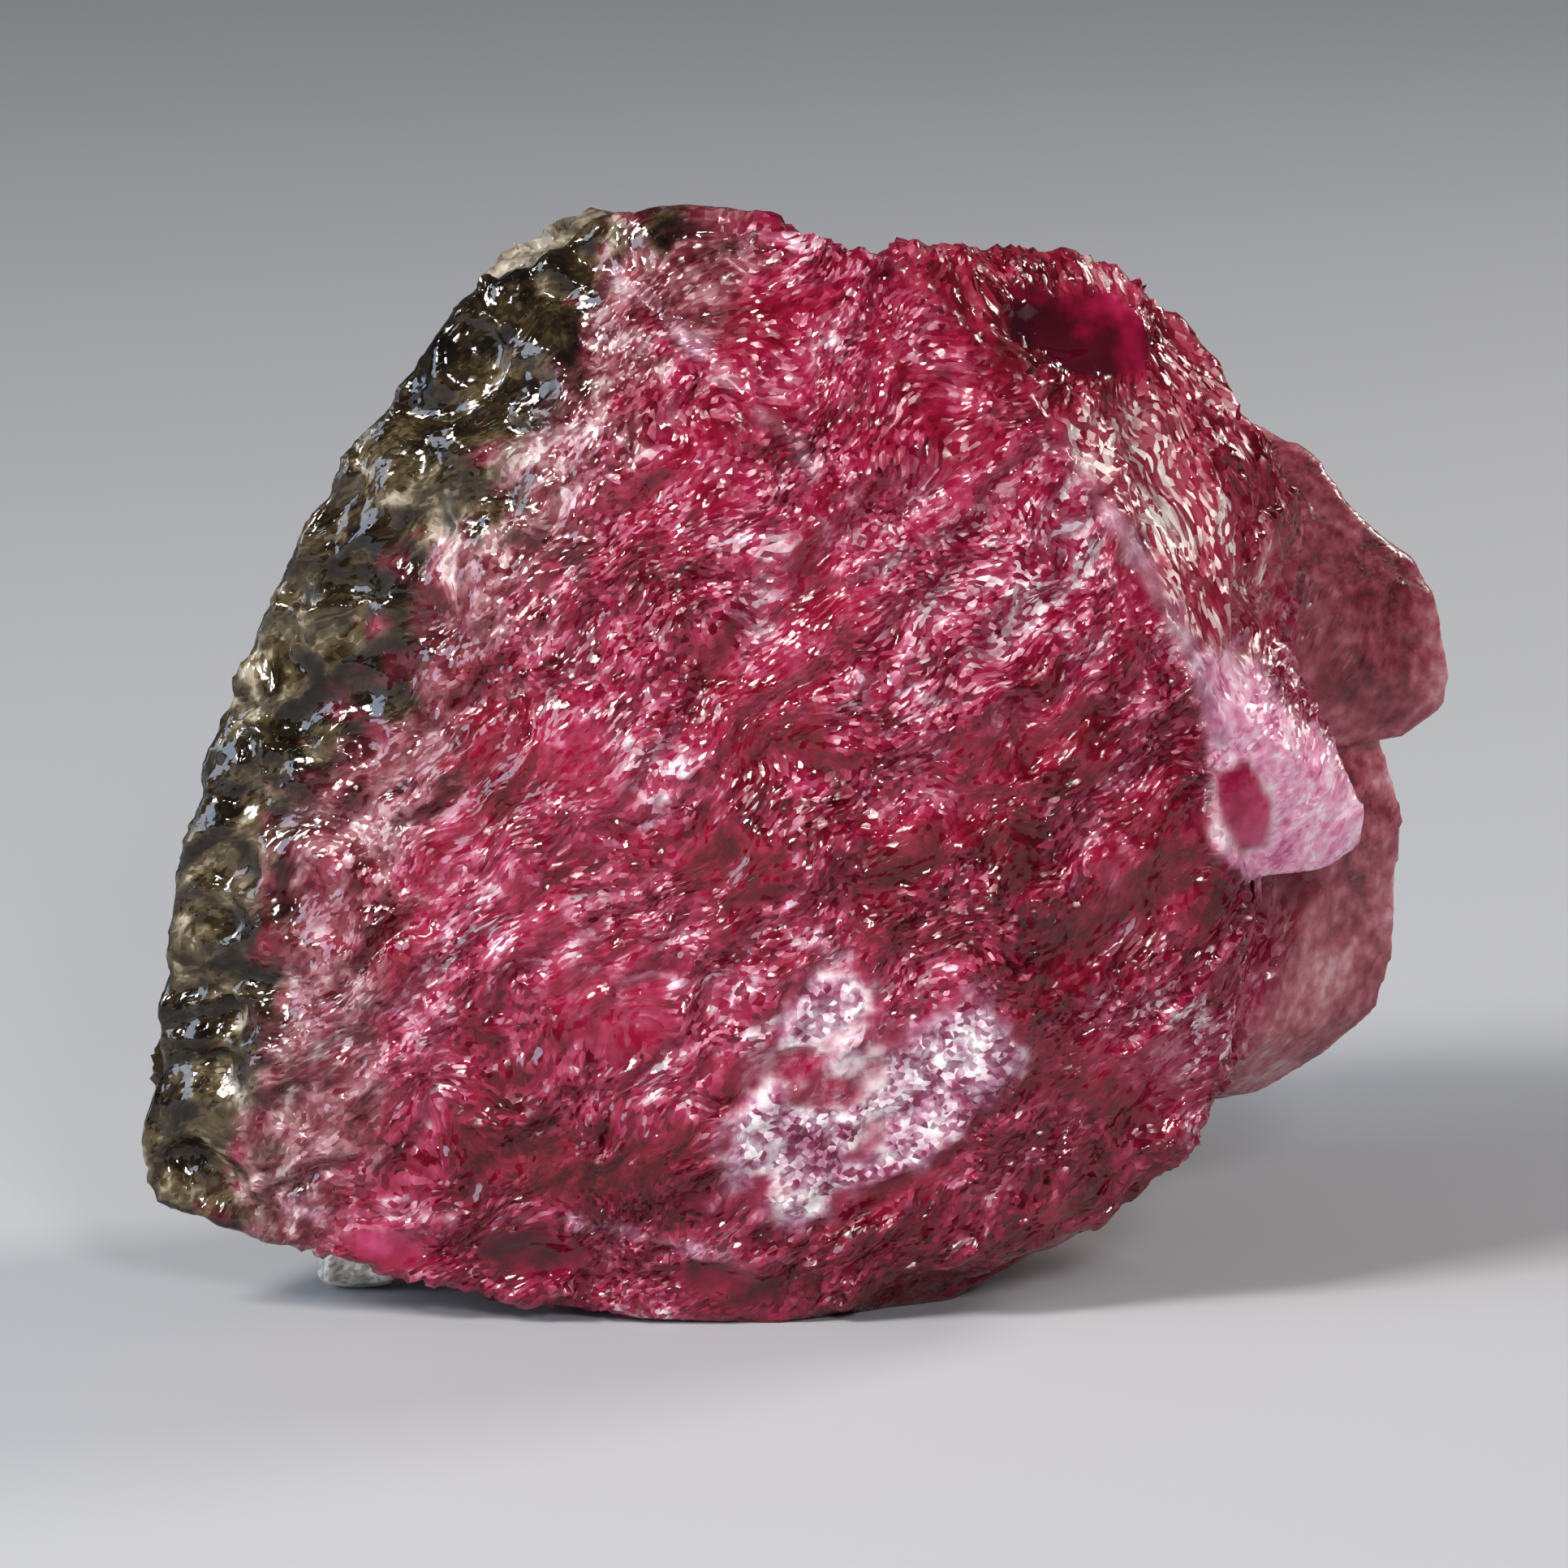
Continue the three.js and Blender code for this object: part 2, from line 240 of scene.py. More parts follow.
# each with half its width; below 0 only the frayed edge of the line is left
PALE_LINES = ((RIDGE[2:], 0.1), (CRACK, 0.03), (BEVEL, -0.02))
SPUR_WINDOW = [[8.1, 11.0], [8.8, 11.2], [9.3, 10.25], [9.15, 9.45], [8.6, 9.35], [8.25, 10.1]]
WINDOWS = [
    {"middle": (5.5, 19.6), "half": (1.6, 0.75), "turn": -22},
    {"middle": (-8.2, 1.6), "half": (0.8, 0.45), "turn": -8},
    {"middle": (-5.3, 1.5), "half": (1.1, 0.5), "turn": -8},
    {"middle": (-1.5, 0.9), "half": (1.0, 0.45), "turn": -12},
]
CLEAR_OVALS = [
    {"middle": (-7.9, 8.4), "half": (1.1, 2.6), "turn": -8},
    {"middle": (-0.9, 9.7), "half": (2.3, 1.1), "turn": 12},
    {"middle": (-4.6, 3.3), "half": (2.8, 0.9), "turn": 4},
    {"middle": (0.6, 16.6), "half": (1.5, 0.8), "turn": 30},
]
outlines = (CRUST, RIDGE, SKYLINE, SPUR, CRACK, BEVEL, SPUR_WINDOW)
print("outlines:", sum(len(outline) for outline in outlines), "corners")

# %% [markdown]
# ## Zones of the front
# The outlines count only near the front, and that limit wavers, because a natural edge is never a
# straight cut. Noise decides where the face is clear and where the crust has holes. A zone that needs two
# things at once is the smaller of their depths, and a zone for which either is enough is the larger.

# %% Zones of the front
FRONT_LIMIT = -3.2  # front outlines count only in front of this depth
LIMIT_WAVE, LIMIT_REACH = 1.6, 2.2  # size of the limit's waves and how far they sway, mm
CLIFF_BEHIND, SPUR_BEHIND = 1.6, 1.2  # how far behind the limit these two go on, mm
CLEAR_HILLS = ((1.7, 0.65, 31), (0.8, 0.35, 32))  # size in mm, share and salt
CLEAR_FROM, CLEAR_SCALE = 0.57, 2.4  # the face is clear where this noise is higher; depth for each unit of it
OVAL_INSET, OVAL_SWAY = 0.3, 1.6  # how far in the edge of a clear oval lies, and how far it sways, mm
HOLE_SIZE, HOLES_FROM, HOLE_SCALE = 0.7, 0.72, 2.0  # the crust has holes where its noise is higher

in_front = FRONT_LIMIT - y + LIMIT_REACH * (soft_noise(points, LIMIT_WAVE, 51)[:, 0] - 0.5)
clear_noise = sum(share * soft_noise(points, size, salt)[:, 0] for size, share, salt in CLEAR_HILLS)
clear_oval = np.minimum(np.max([depth_in_oval(**oval) for oval in CLEAR_OVALS], axis=0), in_front)
swaying_oval = clear_oval - OVAL_INSET + OVAL_SWAY * (clear_noise - 0.5)
pale_line = np.max([half - distance_to(line) for line, half in PALE_LINES], axis=0)
crust_holes = HOLE_SCALE * (HOLES_FROM - soft_noise(points, HOLE_SIZE, 61)[:, 0])
window_oval = np.max([depth_in_oval(**oval) for oval in WINDOWS], axis=0)
zones = {
    "clear": np.maximum(CLEAR_SCALE * (clear_noise - CLEAR_FROM), swaying_oval),
    "cliff": np.minimum(depth_inside(RIDGE + SKYLINE), in_front + CLIFF_BEHIND),
    "spur": np.minimum(depth_inside(SPUR), in_front + SPUR_BEHIND),
    "crust": np.minimum.reduce([depth_inside(CRUST), crust_holes, in_front]),
    "window": np.minimum(np.maximum(depth_inside(SPUR_WINDOW), window_oval), in_front),
    "pale_line": np.minimum(pale_line, in_front),
}
print("front zones:", {name: int((depth > 0).sum()) for name, depth in zones.items()})

# %% [markdown]
# ## Layers and lumps
# The olive rind is a growth layer, laid down last and in another colour. Such a layer follows the old
# skin at an even depth, so it is measured from the skin, and it then runs on round the side and the back
# by itself. The lobes, the pale knob and the crumb under the foot are simply places in space.

# %% Layers and lumps of the other sides
RIND_WIDTH = 2.5
RIND_WAVES = ((1.9, 1.3, 3), (0.7, 0.6, 4))  # size and reach of its inner edge's waves, mm, and salt
SEAM_WIDTH = 1.4  # half the width of the mixed band between the rind and the red body
SEAM_INSET = 0.5  # the middle of that band lies this far beyond the rind, towards the body
SEAM_SCALE, RIND_SCALE = 0.5, 0.6  # depths are shortened by this, which makes their edges softer
KNEE = (-12.05, 10.6)  # the left edge leans back to the right above this point
EDGE_ABOVE = (0.876, -0.482)  # inward directions, in x and z, of the edge above and below the knee
EDGE_BELOW = (0.989, -0.149)
SKIN_LEAN = 0.27  # the left skin goes in by this much for each millimetre towards the back
RIND_Y = -6.2  # depth of the rind's front edge
SKIN_FACING, FACING_SCALE = 0.62, 2  # the old prism skin faces left by at least this much
CHIP_SIZE, CHIPS_BELOW, CHIP_SCALE = 2.6, 0.35, 1.8  # the skin is chipped away where its noise is lower
LOBES = (8.6, -0.6)  # the lobes lie right of this x and behind this y
KNOB = ((-4.8, -2.6, 20.8), 2.0)  # middle and reach
CRUMB = ((-8.9, -3.1, 0.4), 1.15)
BODY_DEPTH = 3.0  # the body lies under all other zones, so every point is well inside it

above, below = [(x - KNEE[0]) * e[0] + (z - KNEE[1]) * e[1] for e in (EDGE_ABOVE, EDGE_BELOW)]
wavy = sum(reach * (soft_noise(points, size, salt)[:, 0] - 0.5) for size, reach, salt in RIND_WAVES)
under_skin = np.minimum(above, below) - SKIN_LEAN * (y - RIND_Y)
zones["seam"] = SEAM_SCALE * (SEAM_WIDTH - np.abs(under_skin + wavy - RIND_WIDTH - SEAM_INSET))
zones["rind"] = RIND_SCALE * (RIND_WIDTH - under_skin - wavy)
unchipped = CHIP_SCALE * (soft_noise(points, CHIP_SIZE, 6)[:, 0] - CHIPS_BELOW)
turned_left = FACING_SCALE * (facing_left - SKIN_FACING)
zones["skin"] = np.minimum.reduce([turned_left, zones["rind"], unchipped])
zones["lobe"] = np.minimum(x - LOBES[0], y - LOBES[1])
for name, (middle, reach) in (("knob", KNOB), ("crumb", CRUMB)):
    zones[name] = reach - np.linalg.norm(points - middle, axis=1)
zones["body"] = np.full(len(x), BODY_DEPTH)
print("all zones:", {name: int((depth > 0).sum()) for name, depth in zones.items()})

# %% [markdown]
# ## The grain
# The splinters of the broad face climb to the right, and those of the cliff beside the ridge fall
# steeply. In a real break the grain also swirls. A turned and bent copy of each point's place gives that:
# cells that are long along its first axis then follow the grain. It is used twice, to carve the stone
# and, kept on the stone as an attribute, to lay out the finest splinters of its finish. The outer skin
# has no splinters but the fine straight ribs of a tourmaline prism. Cells stretched many times along the
# prism give those.

# %% Bend and turn the grain
GRAIN_CLIMB, CLIFF_CLIMB = 38, -70  # degrees up to the right
FACE_STRETCH, CLIFF_STRETCH = 1.25, 1.7  # how much longer the splinters are there
FINEST_SPLINTER = (0.14, 0.11, 0.08)  # along, through and across the grain, mm; twice the real size, to show
CRUST_GRAIN = 0.13  # mm; the crust's grains are as long as they are wide
RIB_STRETCH = 10
RIB_BEND, CRUST_BEND = 0.2, 0.4  # share of the swirls that reaches the ribs and the crust
SWIRLS = ((2.4, 1.3), (0.8, 0.5))  # size and reach of the swirls, mm

bent = points + sum(reach * (soft_noise(points, size, size) - 0.5) for size, reach in SWIRLS)
climb = np.radians(np.where(zones["cliff"] > 0, CLIFF_CLIMB, GRAIN_CLIMB))
along = bent[:, 0] * np.cos(climb) + bent[:, 2] * np.sin(climb)
across = bent[:, 2] * np.cos(climb) - bent[:, 0] * np.sin(climb)
stretch = np.where(zones["cliff"] > 0, CLIFF_STRETCH, FACE_STRETCH)
splintered = np.stack([along / stretch, bent[:, 1], across], axis=1)
ribbed = np.stack([y / RIB_STRETCH, under_skin, (1 - RIB_BEND) * z + RIB_BEND * bent[:, 2]], axis=1)
grain = np.where((zones["skin"] > 0)[:, None], ribbed, splintered)
granular = ((1 - CRUST_BEND) * points + CRUST_BEND * bent) * FINEST_SPLINTER / CRUST_GRAIN
grain = np.where((zones["crust"] > 0)[:, None], granular, grain)
print("grain bends by up to", round(np.abs(bent - points).max(), 2), "mm")

# %% [markdown]
# ## The broken surface
# Tourmaline breaks unevenly: flat splinters that tilt every way, with small cliffs between them. Noise
# gives soft hills, so the heights come from cells instead. Each cell is a little plane with its own tilt,
# and neighbouring planes meet in a step. The rind is the opposite, rounded glassy lumps and scoops, and
# the crust is fine grains.

# %% Heights of each kind of surface
# sizes along, through and across the grain, and depth, mm
LARGE_SPLINTERS = ((2.4, 1.2, 0.9), 0.2)
MIDDLING_SPLINTERS = ((0.62, 0.45, 0.34), 0.12)
SMALL_SPLINTERS = ((0.36, 0.3, 0.24), 0.08)
RIND_LUMPS = (((1.5, 1.5, 2.3), 0.62, 0.45), ((0.8, 0.8, 1.2), 0.2, 0.4))  # sizes, depth, share of scoops
CRUST_GRAINS = ((0.55, 0.16), (0.32, 0.08))  # size and depth, mm
CRUST_RISE = 0.06  # the crust lies this much above the face
LUMP_LEVEL = 0.3  # squared distance from a lump's middle, in cells, where it meets the surface


def splinters(sizes, depth):
    """Heights of tilted planes, and a number from 0 to 1 for each."""
    offsets, owners = nearest_cells(grain / sizes)
    return depth * 2 * (offsets * (scatter(owners, 5) - 0.5)).sum(1), scatter(owners, 11)[:, 0]


def lumps(places, sizes, depth, scoops=0.0):
    """Heights of rounded lumps, of which a share is turned into scoops."""
    offsets, owners = nearest_cells(places / sizes)
    sign = np.where(scatter(owners, 9)[:, 0] < scoops, -1, 1)
    return depth * sign * (LUMP_LEVEL - (offsets**2).sum(1))


large, _ = splinters(*LARGE_SPLINTERS)
middling, splinter_number = splinters(*MIDDLING_SPLINTERS)
small, _ = splinters(*SMALL_SPLINTERS)
rind_height = sum(lumps(bent, *kind) for kind in RIND_LUMPS)
crust_height = sum((lumps(points, *kind) for kind in CRUST_GRAINS), CRUST_RISE)
print("splinters rise by up to", (large + middling + small).max().round(3), "mm")
print("rind lumps rise by up to", rind_height.max().round(3), "mm")

# %% [markdown]
# ## One surface from all of them
# The kinds of surface are laid over one another by zone, each with a soft start. The clear parts have
# fewer steps, and the windows, the spur and the lobes are nearly smooth. One straight crack crosses the
# top left. Near the base the heights fade out, so that the stone stands as the solid does.

# %% Mix the heights
BASE_STILL, BASE_CLEAR = 0.05, 0.5  # no chips below the first height, all of them above the second, mm
CRACK_DEPTH, CRACK_REACH = 0.16, 0.22  # mm
CLEAR_RELIEF, SMOOTH_RELIEF, SKIN_RELIEF = 0.35, 0.25, 0.5  # share of the splinters' height that is left
smooth_zones = np.maximum.reduce([zones["window"], zones["spur"], zones["lobe"]])
# each layer: its heights, its zone, and the depths in that zone where it begins and where it is complete
layers = (
    (large + CLEAR_RELIEF * middling, zones["clear"], -0.2, 0.3),
    (SMOOTH_RELIEF * large, smooth_zones, -0.2, 0.3),
    (rind_height, zones["rind"], -0.6, 0.5),
    (SKIN_RELIEF * (large + middling), zones["skin"], -0.2, 0.2),
    (crust_height, zones["crust"], -0.1, 0.2),
)
heights = large + middling + small
for layer, zone, begins, complete in layers:
    heights = heights + (layer - heights) * ramp(begins, complete, zone)
heights = heights - CRACK_DEPTH * ramp(CRACK_REACH, 0, distance_to(CRACK)) * (in_front > 0)
heights = heights * ramp(BASE_STILL, BASE_CLEAR, z)
print("heights, mm:", heights.min().round(3), "to", heights.max().round(3))

# %% [markdown]
# ## Carving
# The heights are painted as two weight groups, and Displace modifiers raise the one and sink the other. A
# third group lets a Smooth modifier round the glassy rind alone, while the splinters stay sharp.

# %% Carve
GLASSY_EDGE = (-0.4, 0.3)  # depths in the rind where the rounding begins and where it is complete


def weight_group(piece, name, weights):
    """Keeps one weight for each point under that name."""
    group = piece.vertex_groups.new(name=name)
    for index, weight in enumerate(weights):
        group.add([index], weight, "REPLACE")


for name, sign in (("raised", 1), ("sunk", -1)):
    share = np.clip(sign * heights, 0, None)
    weight_group(stone, name, share / share.max())
    strength = sign * share.max() * MM
    apply_modifier(stone, name, "DISPLACE", vertex_group=name, strength=strength, mid_level=0)
weight_group(stone, "glassy", ramp(*GLASSY_EDGE, zones["rind"]))
apply_modifier(stone, "rounded", "SMOOTH", vertex_group="glassy", factor=0.5, iterations=1)
stone.vertex_groups.clear()
print("carved:", [[round(c / MM, 2) for c in stone.bound_box[i]] for i in (0, 6)])

# %% [markdown]
# ## What the finish needs to know
# A finish can read numbers that are kept on the mesh. They are worked out here for every point: first a
# tone, which is the slow change from dark to pale in the stone, with a few places that are plainly darker
# or paler.

# %% Tone
TONE_HILLS = ((2.8, 0.5), (1.2, 0.3), (0.5, 0.2))  # size in mm and share
TONE_CONTRAST = 1.9
TONE_EDGE = (-0.3, 0.4)  # depths in an oval where its change begins and where it is complete
TONE_BEHIND = 1.6  # how far behind the front limit the ovals go on, mm
# each oval: middle, half lengths, turn in degrees, change of tone
TONE_OVALS = (
    ((-4.6, 3.4), (3.2, 1.3), 5, -0.3),  # deep red above the bottom windows
    ((-8.2, 1.6), (1.0, 0.6), -8, 0.35),  # the bright window at the bottom left
    ((-0.9, 9.7), (2.4, 1.3), 10, -0.2),  # deep red in the middle of the face
    ((-7.8, 9.0), (1.8, 2.2), 0, 0.1),  # milky red beside the rind
    ((1.6, 19.6), (1.6, 1.4), 0, 0.12),  # granular mauve under the skyline
    ((6.8, 17.1), (2.3, 0.3), -80, 0.45),  # cream streaks of the cliff
    ((8.4, 14.8), (1.3, 0.3), -68, 0.45),
    ((8.6, 17.4), (1.8, 0.8), -60, -0.3),  # red between and beside the streaks
    ((5.5, 19.6), (2.4, 1.3), -22, -0.3),  # red around the pocket
    ((3.0, 20.4), (2.2, 1.2), -30, -0.3),
    ((-1.0, 3.7), (0.7, 0.9), 60, 0.5),  # whitest grains of the crust
    ((0.0, 2.7), (0.6, 0.5), 0, 0.5),
    ((8.7, 10.3), (1.2, 0.8), 115, 0.6),  # the bright window of the spur
    ((-11.3, 2.6), (1.8, 1.6), 0, -0.1),  # even olive at the foot of the rind
    # painted shade: the band along the bottom is made darker, on top of the deep red of the glassy bevel
    ((-1.0, 1.2), (8.0, 1.1), 0, -0.25),  # darker red along the bottom
)
tone = sum(share * soft_noise(points, size, size)[:, 1] for size, share in TONE_HILLS)
tone = 0.5 + TONE_CONTRAST * (tone - 0.5)
for middle, half, turn, change in TONE_OVALS:
    share = ramp(*TONE_EDGE, depth_in_oval(middle, half, turn)) * (in_front > -TONE_BEHIND)
    tone = tone + change * share
tone = np.clip(tone, 0, 1)
print("tone:", tone.mean().round(3), "on average")

# %% [markdown]
# ## The look of each zone
# Every zone gets five colours, from its darkest cracks to its palest flecks, and what chooses among them:
# the slow tone, the carved splinters, the finest splinters or fine grit. It also gets its gloss, its
# clearness and the depth of its finest splinters. Colours are written as the sRGB hex values that a
# picture shows, and shaders work in linear light, so one function turns the one into the other.

# %% Colours and finish of each zone


def linear(hex_colour):
    """An sRGB hex colour as the linear colour that a shader takes."""
    channels = [int(hex_colour[i : i + 2], 16) / 255 for i in (1, 3, 5)]
    return [c / 12.92 if c <= 0.04045 else ((c + 0.055) / 1.055) ** 2.4 for c in channels] + [1]


# each zone: colours from dark to pale; shares of tone, splinters, finest splinters and grit; roughness, share
# of light that passes in and depth of the finest splinters; width of its frayed edge, mm
ZONE_LOOKS = {
    "body": (
        ("#4e000d", "#750524", "#93163c", "#af4a68", "#f2e2e8"),
        (0.3, 0.25, 0.3, 0.15), (0.25, 0.16, 1.0), 0.0,
    ),
    "clear": (
        ("#54000c", "#76041c", "#8f0c30", "#a52c4e", "#cf7c94"),
        (0.45, 0.2, 0.15, 0.2), (0.17, 0.22, 0.45), 0.4,
    ),
    "cliff": (
        ("#4c020c", "#7a0a22", "#961f3a", "#b04a5c", "#f6efe6"),
        (0.45, 0.2, 0.35, 0.0), (0.22, 0.16, 0.8), 0.6,
    ),
    "lobe": (
        ("#5c1522", "#8a3040", "#a84c5a", "#c4737e", "#e0a9b0"),
        (0.7, 0.0, 0.0, 0.3), (0.33, 0.24, 0.2), 0.5,
    ),
    # the spur's own frosted pink, with painted light: its colours are paler still, to make up for the shade
    # that the spur stands in
    "spur": (
        ("#bc5684", "#e08cb0", "#edb0c8", "#f8d8e3", "#fff6f9"),
        (0.3, 0.2, 0.2, 0.3), (0.34, 0.1, 0.5), 0.35,
    ),
    "seam": (
        ("#3c0e15", "#602029", "#803f46", "#a8767c", "#ece0da"),
        (0.35, 0.3, 0.2, 0.15), (0.16, 0.14, 0.6), 0.8,
    ),
    "rind": (
        ("#060402", "#170f06", "#2d2212", "#564932", "#b0a48f"),
        (0.4, 0.3, 0.15, 0.15), (0.08, 0.06, 0.22), 0.8,
    ),
    "skin": (
        ("#080705", "#15120c", "#231e15", "#363024", "#716857"),
        (0.4, 0.2, 0.25, 0.15), (0.3, 0.0, 0.4), 0.45,
    ),
    "crust": (
        ("#5e0822", "#883452", "#b17b95", "#e2cfd2", "#fdf9f2"),
        (0.3, 0.15, 0.3, 0.25), (0.35, 0.0, 0.9), 0.5,
    ),
    "window": (
        ("#4a0216", "#7a0526", "#960c38", "#ae1e4e", "#cc4474"),
        (0.8, 0.0, 0.0, 0.2), (0.07, 0.3, 0.06), 0.08,
    ),
    "pale_line": (
        ("#96506c", "#b4768f", "#ca98ab", "#dcbac6", "#f0e0e6"),
        (0.0, 0.0, 0.5, 0.5), (0.3, 0.1, 0.5), 0.35,
    ),
    "knob": (
        ("#40372b", "#5a5043", "#716655", "#8b806d", "#b0a692"),
        (0.3, 0.0, 0.3, 0.4), (0.45, 0.0, 0.5), 0.4,
    ),
    "crumb": (
        ("#b9ae9d", "#cfc5b4", "#dcd4c5", "#e8e1d5", "#f5f0e6"),
        (0.0, 0.0, 0.5, 0.5), (0.6, 0.0, 0.5), 0.2,
    ),
}
print("looks of", len(ZONE_LOOKS), "zones")

# %% [markdown]
# ## Blending the zones
# The zones are laid over one another in the order of that list, the body first. Noise frays each edge.
# Where the direction of the grain changes at once, the finest splinters would draw a hard line, so they
# fade out on both sides of it.

# %% Blend the zones
EDGE_HILLS = (0.3, 0.7)  # sizes of the edge noise, mm
EDGE_SOFT, FRAY_SOFT = 0.08, 0.4  # half width of every edge, mm, and what each millimetre of fray adds to it
GRAIN_CHANGES = ("crust", "cliff", "skin")  # the grain changes at once at the edges of these
STEADY = (0.05, 0.22)  # distances from those edges where the finest splinters begin and are complete, mm
edge_noise = sum(soft_noise(points, size, 20 + size)[:, 2] - 0.5 for size in EDGE_HILLS)
colours = np.zeros((5, len(points), 4))
shares, finish = np.zeros((len(points), 4)), np.zeros((len(points), 3))
for name, (zone_colours, zone_shares, zone_finish, fray) in ZONE_LOOKS.items():
    soft = EDGE_SOFT + FRAY_SOFT * fray
    inside = ramp(-soft, soft, zones[name] + fray * edge_noise)[:, None]
    for layer, hex_colour in zip(colours, zone_colours):
        layer += (linear(hex_colour) - layer) * inside
    shares += (zone_shares - shares) * inside
    finish += (zone_finish - finish) * inside
steady = ramp(*STEADY, np.min([np.abs(zones[name]) for name in GRAIN_CHANGES], axis=0))
slow = shares[:, 0] * tone + shares[:, 1] * splinter_number + 0.5 * shares[:, 2] * (1 - steady)
mixing = np.stack([slow, shares[:, 2] * steady, shares[:, 3]], axis=1)
finish[:, 2] *= steady
print("finish:", dict(zip(("roughness", "passes in", "relief"), finish.mean(0).round(3))), "on average")

# %% [markdown]
# ## Numbers on the mesh
# The five colours go onto the mesh as colour attributes. The grain, the mixing of the colours and the
# finish go there as vectors, three numbers at a time.

# %% Keep the numbers on the stone
SHADES = ("darkest", "dark", "middle", "pale", "palest")
for name, layer in zip(SHADES, colours):
    attribute = stone.data.attributes.new(name, "FLOAT_COLOR", "POINT")
    attribute.data.foreach_set("color", layer.astype(np.float32).ravel())
for name, vectors in {"grain": grain, "mixing": mixing, "finish": finish}.items():
    attribute = stone.data.attributes.new(name, "FLOAT_VECTOR", "POINT")
    attribute.data.foreach_set("vector", vectors.astype(np.float32).ravel())
print("kept:", [attribute.name for attribute in stone.data.attributes if not attribute.is_internal])

# %% [markdown]
# ## One material for one growth
# The stone is one growth, so it gets one material, and the numbers kept on the mesh change it from place
# to place. Separate materials would meet in hard lines along the mesh's edges. A material is built from
# nodes, and one small function adds a node of any kind, sets it and links what feeds it.

# %% A new material


def new_material(name):
    material = bpy.data.materials.new(name)
    material.use_nodes = True
    material.node_tree.nodes.clear()
    return material


def add(material, kind, inputs, **settings):
    """Adds a node. What an input gets is a value, or the node or socket that feeds it."""
    node = material.node_tree.nodes.new(kind)
    for setting, value in settings.items():
        setattr(node, setting, value)
    for key, value in inputs.items():
        named = (socket for socket in node.inputs if socket.enabled and socket.name == key)
        socket = node.inputs[key] if isinstance(key, int) else next(named)
        if isinstance(value, bpy.types.Node):
            value = next(output for output in value.outputs if output.enabled)
        if isinstance(value, bpy.types.NodeSocket):
            material.node_tree.links.new(value, socket)
        else:
            socket.default_value = value
    return node


# rubellite that broke unevenly: to the eye, fine glitter over a deep red that one can look into a little
rubellite = new_material("rubellite_uneven_fracture")
print("new material:", rubellite.name)

# %% [markdown]
# ## Splinters too fine to carve
# The glitter of the real break comes from splinters of about a twentieth of a millimetre. A net that fine
# would need millions of faces. So a Voronoi texture splits the grain into cells, each cell leans its own
# way, and a Bump node turns the light as such little planes would.

# %% Splinters too fine to carve
kept_grain, kept_mixing, kept_finish = [
    add(rubellite, "ShaderNodeAttribute", {}, attribute_name=name).outputs["Vector"]
    for name in ("grain", "mixing", "finish")
]
per_cell = [1 / size for size in FINEST_SPLINTER]
way = add(rubellite, "ShaderNodeVectorMath", {0: kept_grain, 1: per_cell}, operation="MULTIPLY")
cells = add(rubellite, "ShaderNodeTexVoronoi", {"Vector": way, "Scale": 1.0})
chance = cells.outputs["Color"]
away = add(rubellite, "ShaderNodeVectorMath", {0: way, 1: cells.outputs["Position"]}, operation="SUBTRACT")
lean = add(rubellite, "ShaderNodeVectorMath", {0: chance, 1: (0.5, 0.5, 0.5)}, operation="SUBTRACT")
relief = add(rubellite, "ShaderNodeVectorMath", {0: away, 1: lean}, operation="DOT_PRODUCT")
fine = add(rubellite, "ShaderNodeSeparateXYZ", {"Vector": chance})
print("finest splinters, mm:", FINEST_SPLINTER)

# %% [markdown]
# ## Colour
# Traces of manganese make tourmaline red. A splinter that has come away has air behind it and looks pale,
# and a crack is a place where one looks deep into the red. So one number for each spot, from the tone,
# the splinters and some grit, runs through the five colours that its zone has there.

# %% Colour
GRIT_SIZE = 0.3  # mm
GRIT_RANGE = {"From Min": 0.3, "From Max": 0.7}  # what the noise mostly gives, stretched to 0 to 1
STEPS = (0.22, 0.4, 0.54, 0.69, 0.87)  # where each of the five colours is pure
spot = add(rubellite, "ShaderNodeTexCoord", {}).outputs["Object"]
grit = add(rubellite, "ShaderNodeTexNoise", {"Vector": spot, "Scale": 1 / (GRIT_SIZE * MM), "Detail": 2.0})
grit = add(rubellite, "ShaderNodeMapRange", {"Value": grit, **GRIT_RANGE})
base, fine_share, grit_share = add(rubellite, "ShaderNodeSeparateXYZ", {"Vector": kept_mixing}).outputs
number = add(rubellite, "ShaderNodeMath", {0: fine, 1: fine_share, 2: base}, operation="MULTIPLY_ADD")
number = add(rubellite, "ShaderNodeMath", {0: grit, 1: grit_share, 2: number}, operation="MULTIPLY_ADD")
shades = [add(rubellite, "ShaderNodeAttribute", {}, attribute_name=name).outputs["Color"] for name in SHADES]
colour = shades[0]
for low, high, shade in zip(STEPS, STEPS[1:], shades[1:]):
    share = add(rubellite, "ShaderNodeMapRange", {"Value": number, "From Min": low, "From Max": high})
    colour = add(rubellite, "ShaderNodeMix", {"Factor": share, "A": colour, "B": shade}, data_type="RGBA")
print(rubellite.name, "has", len(rubellite.node_tree.nodes), "nodes")

# %% [markdown]
# ## Light in the stone
# Tourmaline is clear. A share of the light passes in, is bent by its index of 1.63 and loses its green
# and blue on the way, and the cracks send the rest back at the surface. The Principled shader does both:
# transmission for the share that passes in, base colour for the rest. Its gloss changes from splinter to
# splinter, so that some flash and others stay dull.

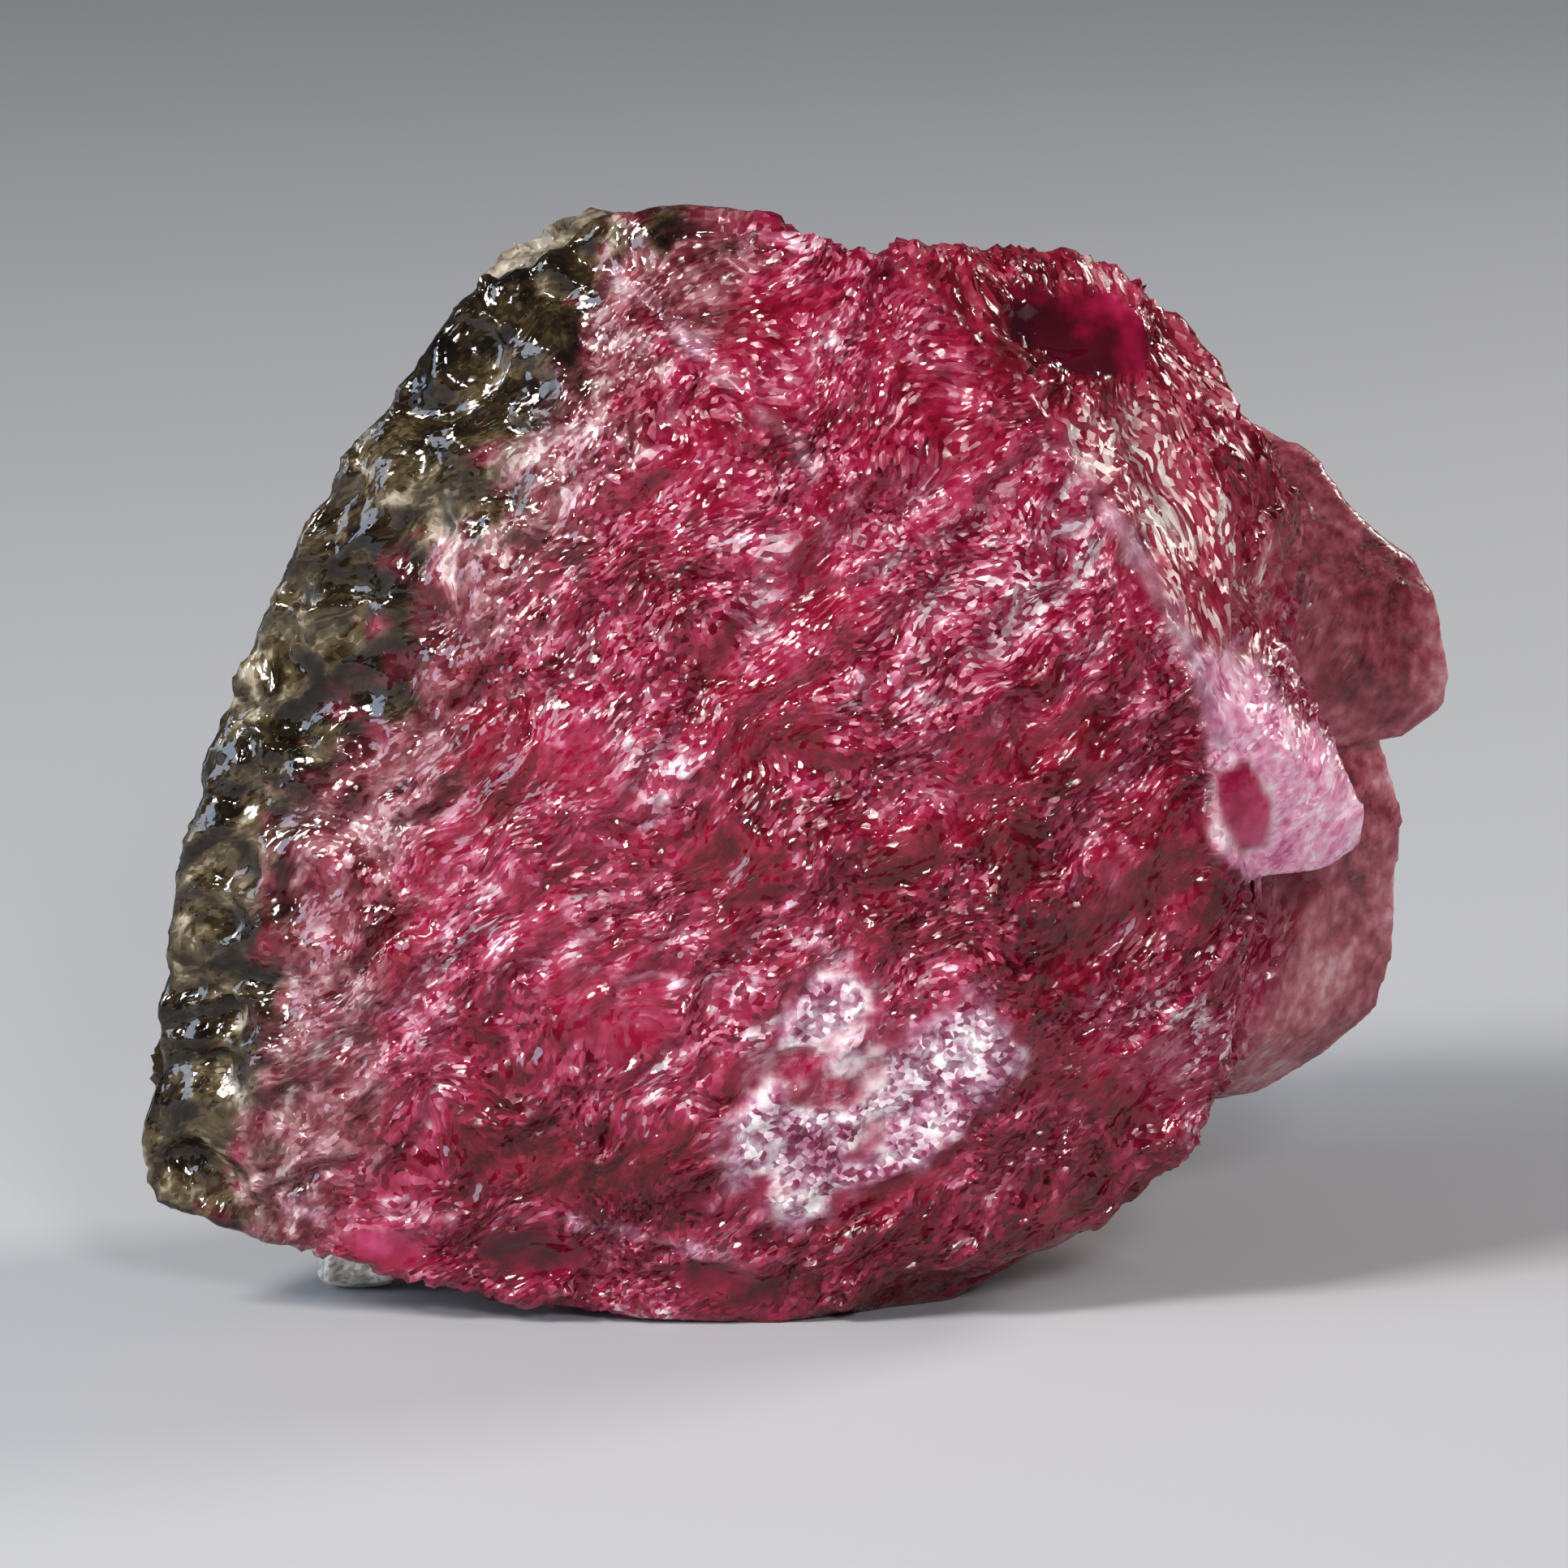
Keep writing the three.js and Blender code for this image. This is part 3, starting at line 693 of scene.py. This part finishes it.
# %% Shader
CLEAR_RED = (0.85, 0.07, 0.22, 1)
ABSORPTION = 350.0  # per metre
SPLINTER_DEPTH = 0.1 * MM
ROUGH_LEAST, ROUGH_MORE = 0.4, 1.2  # a splinter has from 0.4 to 1.6 times the roughness of its zone
rough, clear, depth = add(rubellite, "ShaderNodeSeparateXYZ", {"Vector": kept_finish}).outputs
uneven = add(rubellite, "ShaderNodeMath", {0: fine, 1: ROUGH_MORE, 2: ROUGH_LEAST}, operation="MULTIPLY_ADD")
rough = add(rubellite, "ShaderNodeMath", {0: rough, 1: uneven}, operation="MULTIPLY")
bump = add(rubellite, "ShaderNodeBump", {"Height": relief, "Strength": depth, "Distance": SPLINTER_DEPTH})
surface = add(
    rubellite,
    "ShaderNodeBsdfPrincipled",
    {
        "Base Color": colour,
        "Roughness": rough,
        "Transmission Weight": clear,
        "IOR": 1.63,
        "Specular IOR Level": 0.3,
        "Normal": bump,
    },
)
absorption = add(rubellite, "ShaderNodeVolumeAbsorption", {"Color": CLEAR_RED, "Density": ABSORPTION})
add(rubellite, "ShaderNodeOutputMaterial", {"Surface": surface, "Volume": absorption})
stone.data.materials.clear()
stone.data.materials.append(rubellite)
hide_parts("crystal")
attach(stone, "root")
print("material on", stone.name)

# %% [markdown]
# ## Floor
# The stone lies on a plain sheet of paper. A plane is enough for it, much larger than the picture, so
# that no edge of it shows from any side. It belongs to the stage and not to the part.

# %% Floor
FLOOR_SIZE = 3.0  # metres
bpy.ops.object.select_all(action="DESELECT")
bpy.ops.mesh.primitive_plane_add(size=FLOOR_SIZE)
floor = bpy.context.object
floor.name = "floor"
# paper rolled without a coat: to the eye, an even pale ground with soft shadows and no gloss
paper = new_material("paper_rolled_matt")
paper_shader = add(paper, "ShaderNodeBsdfPrincipled", {"Base Color": linear("#b6b8bc"), "Roughness": 0.7})
add(paper, "ShaderNodeOutputMaterial", {"Surface": paper_shader})
floor.data.materials.append(paper)
print("floor:", FLOOR_SIZE, "m")

# %% [markdown]
# ## Light
# In the picture a soft light stands high on the left, with some light from the front. A large bluish
# panel on the left, like a window, gives the glassy rind its broad reflections, and one behind on the
# right draws the rims. Area lamps are used, because their size sets how soft a shadow and how large a
# glint is. The plain view transform is chosen, so that a hex colour comes out as it was written.

# %% Lights
# each lamp: name, place and size in metres, watts, tint
LIGHTS = (
    ("key", (-0.17, -0.16, 0.2), 0.08, 0.88, "#fff8f0"),
    ("rim", (0.2, 0.12, 0.14), 0.08, 0.42, "#fff8f0"),
    ("front", (0.05, -0.25, 0.12), 0.04, 0.3, "#ffffff"),
    ("window", (-0.3, -0.14, 0.12), 0.18, 0.9, "#cfe0f5"),
)
SKY, SKY_STRENGTH = "#d3dcea", 0.14
studio = bpy.data.worlds.new("studio")
bpy.context.scene.world = studio
studio.use_nodes = True
background = studio.node_tree.nodes["Background"]
background.inputs["Color"].default_value = linear(SKY)
background.inputs["Strength"].default_value = SKY_STRENGTH
for name, place, size, watts, tint in LIGHTS:
    bpy.ops.object.light_add(type="AREA", location=place)
    light = bpy.context.object
    light.name = name
    light.data.size = size
    light.data.energy = watts
    light.data.color = linear(tint)[:3]
    light.rotation_euler = Vector(aim - np.array(place)).to_track_quat("-Z", "Y").to_euler()
    light.visible_camera = False
scene = bpy.context.scene
scene.view_settings.view_transform = "Standard"
scene.cycles.max_bounces = 6
scene.cycles.transmission_bounces = 5
print("lights:", [name for name, *_ in LIGHTS])
